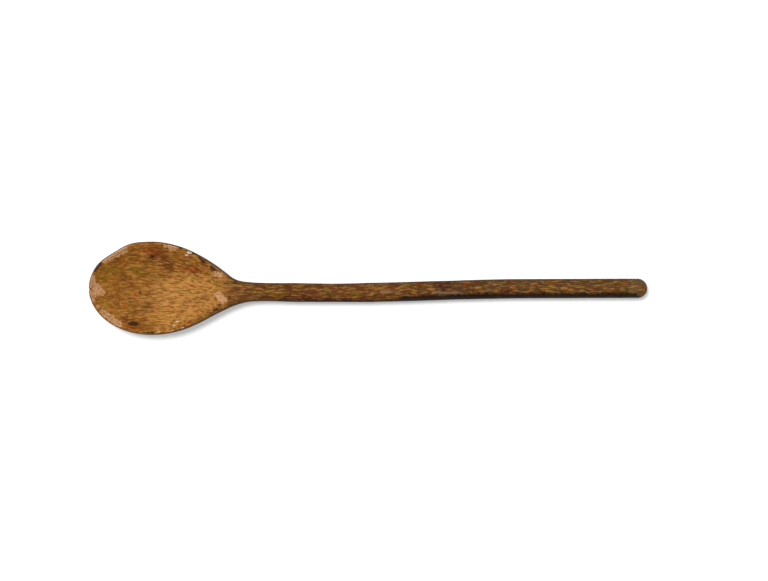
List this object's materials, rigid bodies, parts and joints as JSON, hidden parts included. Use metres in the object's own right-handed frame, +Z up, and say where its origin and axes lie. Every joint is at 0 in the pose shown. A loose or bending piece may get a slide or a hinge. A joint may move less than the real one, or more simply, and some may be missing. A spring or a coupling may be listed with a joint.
{
  "type": "wooden mixing spoon",
  "caption": "Long wooden mixing spoon with a shallow egg-shaped bowl, a narrow neck and a round, slightly bowed handle with a rounded end, for stirring and mixing.",
  "frame": {"origin": "centre of the spoon's length and of the bowl's width, on the table that the spoon lies on", "axes": "+X along the spoon from the bowl's tip towards the end of the handle, +Y across to the far side, +Z up out of the hollow"},
  "size_m": [0.355, 0.0596, 0.014],
  "materials": {
    "wood": "old, unvarnished, dark with use on the handle and worn golden in the bowl"
  },
  "bodies": {
    "root": {"spoon": "wood"}
  },
  "joints": []
}
